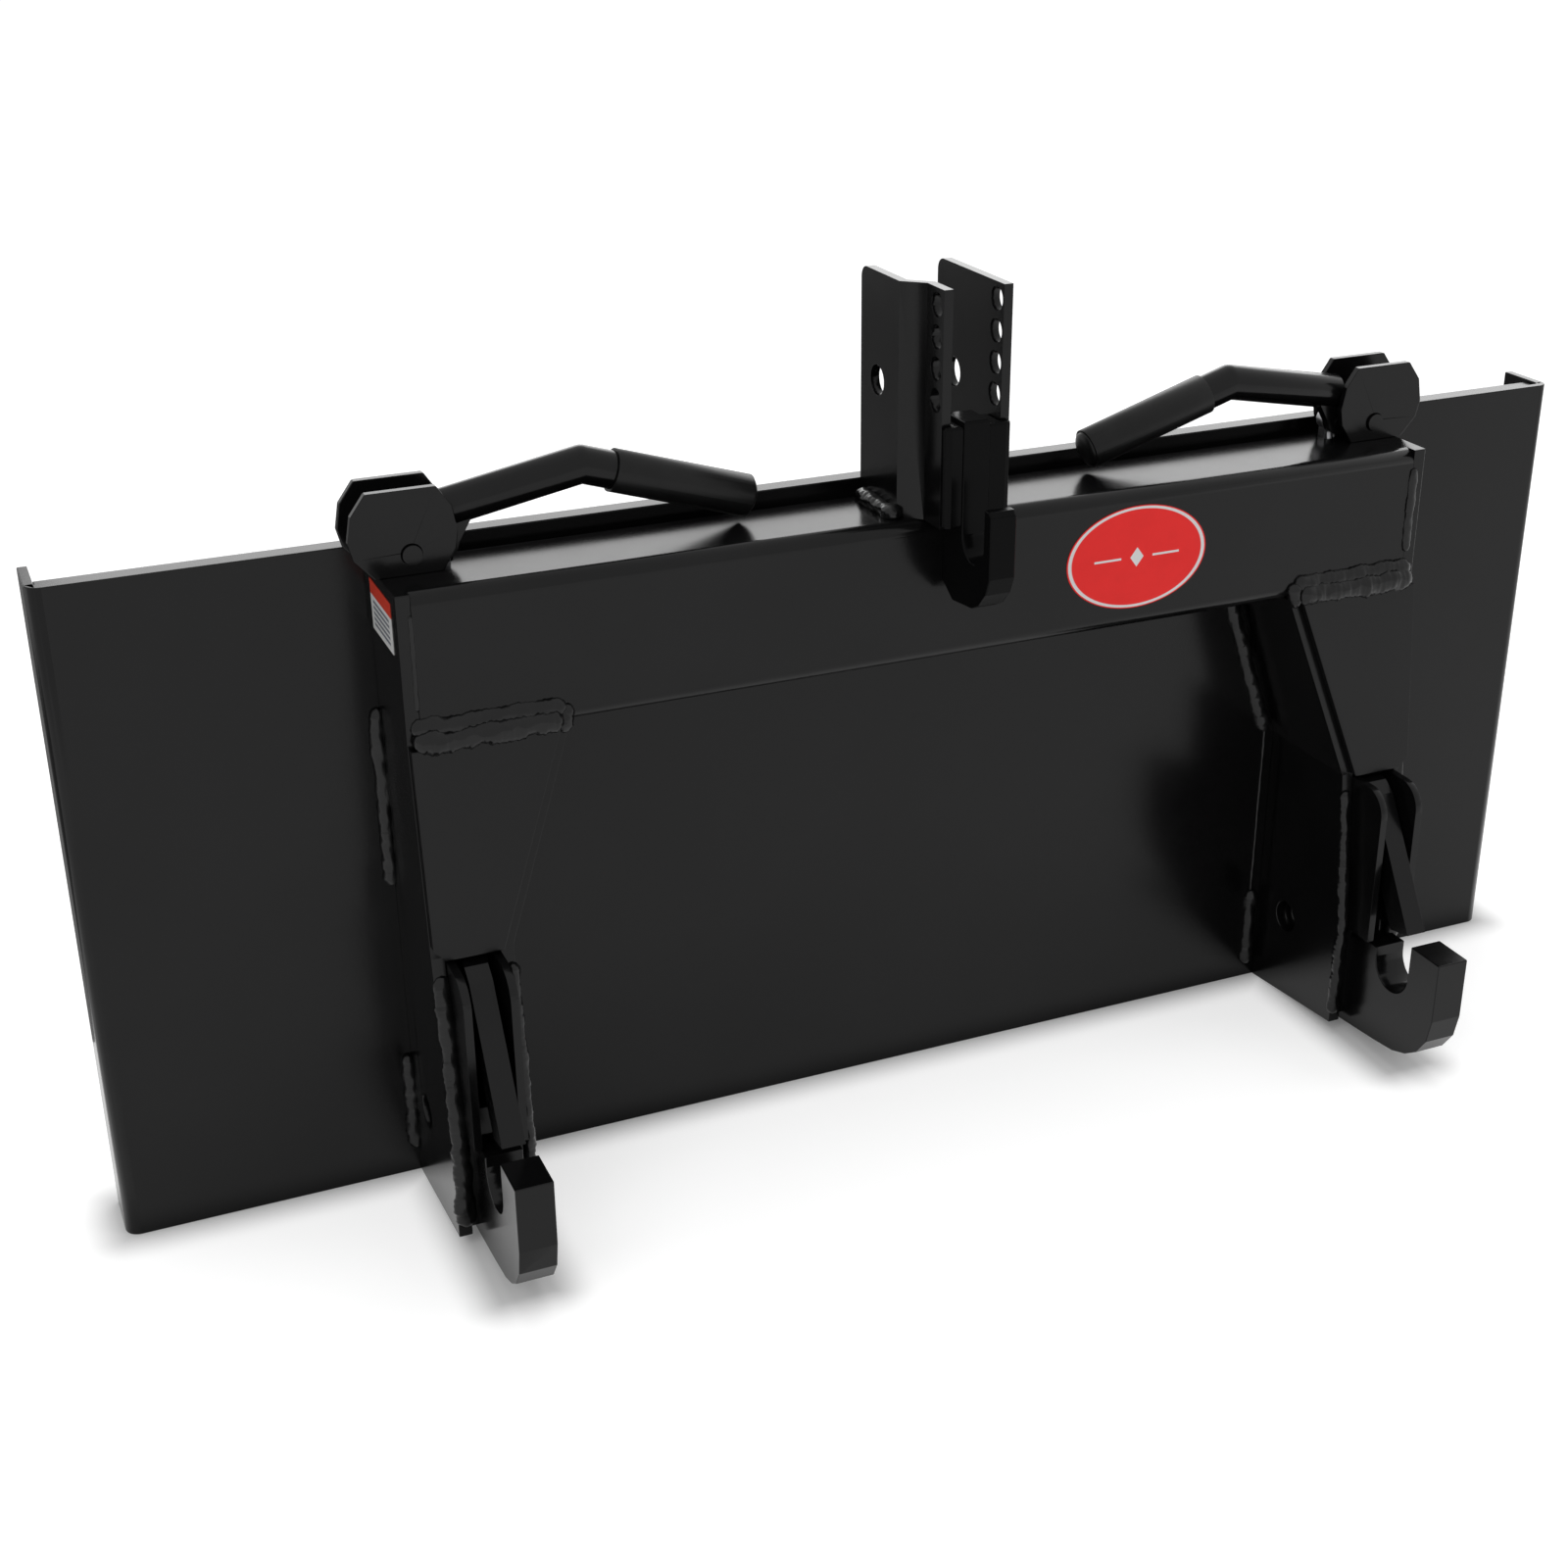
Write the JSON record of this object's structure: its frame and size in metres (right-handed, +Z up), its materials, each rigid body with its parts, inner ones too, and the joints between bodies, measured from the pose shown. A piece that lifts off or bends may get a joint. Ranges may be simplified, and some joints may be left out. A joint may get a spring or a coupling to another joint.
{
  "type": "skid steer three point hitch adapter",
  "caption": "Black powder coated skid steer plate carrying a category 1 quick hitch frame with two lever released lower hooks and a top hook",
  "frame": {"origin": "on the ground plane, under the middle of the bounding box", "axes": "+X to the right seen from the implement side, -Y towards the implement, +Z up"},
  "size_m": [1.148, 0.254, 0.622],
  "materials": {
    "black_powder_coat": "glossy black powder coat",
    "black_weld": "glossy black powder coat over weld beads",
    "plated_steel": "plain plated steel, mostly hidden",
    "grip_black": "smooth black hand grip"
  },
  "bodies": {
    "frame": {"skid_plate": "black_powder_coat", "top_lip": "black_powder_coat", "bottom_ledge": "black_powder_coat", "cross_beam": "black_powder_coat", "right_outer_side": "black_powder_coat", "left_outer_side": "black_powder_coat", "right_inner_side": "black_powder_coat", "left_inner_side": "black_powder_coat", "right_cover": "black_powder_coat", "left_cover": "black_powder_coat", "right_hook": "black_powder_coat", "left_hook": "black_powder_coat", "right_outer_cheek": "black_powder_coat", "left_outer_cheek": "black_powder_coat", "right_inner_cheek": "black_powder_coat", "left_inner_cheek": "black_powder_coat", "right_latch_pin": "plated_steel", "left_latch_pin": "plated_steel", "right_front_ear": "black_powder_coat", "left_front_ear": "black_powder_coat", "right_rear_ear": "black_powder_coat", "left_rear_ear": "black_powder_coat", "right_lever_pin": "plated_steel", "left_lever_pin": "plated_steel", "right_mast": "black_powder_coat", "left_mast": "black_powder_coat", "top_hook": "black_powder_coat", "right_hook_strip": "black_weld", "left_hook_strip": "black_weld", "right_seam": "black_weld", "left_seam": "black_weld", "right_outer_weld": "black_weld", "left_outer_weld": "black_weld", "right_inner_weld": "black_weld", "left_inner_weld": "black_weld", "right_outer_foot_weld": "black_weld", "left_outer_foot_weld": "black_weld", "right_inner_foot_weld": "black_weld", "left_inner_foot_weld": "black_weld", "right_mast_weld": "black_weld", "left_mast_weld": "black_weld"},
    "right_lever_body": {"right_lever": "black_powder_coat", "right_crank_pin": "plated_steel", "right_grip": "grip_black"},
    "right_rod_body": {"right_rod": "plated_steel"},
    "right_latch_body": {"right_latch": "black_powder_coat", "right_tail_pin": "plated_steel"},
    "left_lever_body": {"left_lever": "black_powder_coat", "left_crank_pin": "plated_steel", "left_grip": "grip_black"},
    "left_rod_body": {"left_rod": "plated_steel"},
    "left_latch_body": {"left_latch": "black_powder_coat", "left_tail_pin": "plated_steel"}
  },
  "joints": [
    {"name": "right_lever_hinge", "type": "hinge", "parent": "frame", "child": "right_lever_body", "pos_m": [0.378, 0.058, 0.478], "axis": [0, 1, 0], "range_deg": [0, 25]},
    {"name": "right_rod_slide", "type": "slide", "parent": "frame", "child": "right_rod_body", "axis": [0, 0, 1], "range_m": [0, 0.01026]},
    {"name": "right_latch_hinge", "type": "hinge", "parent": "frame", "child": "right_latch_body", "pos_m": [0.371, 0.015, 0.214], "axis": [1, 0, 0], "range_deg": [0, 14]},
    {"name": "left_lever_hinge", "type": "hinge", "parent": "frame", "child": "left_lever_body", "pos_m": [-0.345, 0.058, 0.478], "axis": [0, -1, 0], "range_deg": [0, 25]},
    {"name": "left_rod_slide", "type": "slide", "parent": "frame", "child": "left_rod_body", "axis": [0, 0, 1], "range_m": [0, 0.01026]},
    {"name": "left_latch_hinge", "type": "hinge", "parent": "frame", "child": "left_latch_body", "pos_m": [-0.338, 0.015, 0.214], "axis": [1, 0, 0], "range_deg": [0, 14]}
  ],
  "couplings": [
    {"joint": "right_rod_slide", "follows": "right_lever_hinge", "m_per_rad": 0.023518},
    {"joint": "right_latch_hinge", "follows": "right_lever_hinge", "ratio": 0.56},
    {"joint": "left_rod_slide", "follows": "left_lever_hinge", "m_per_rad": 0.023518},
    {"joint": "left_latch_hinge", "follows": "left_lever_hinge", "ratio": 0.56}
  ]
}
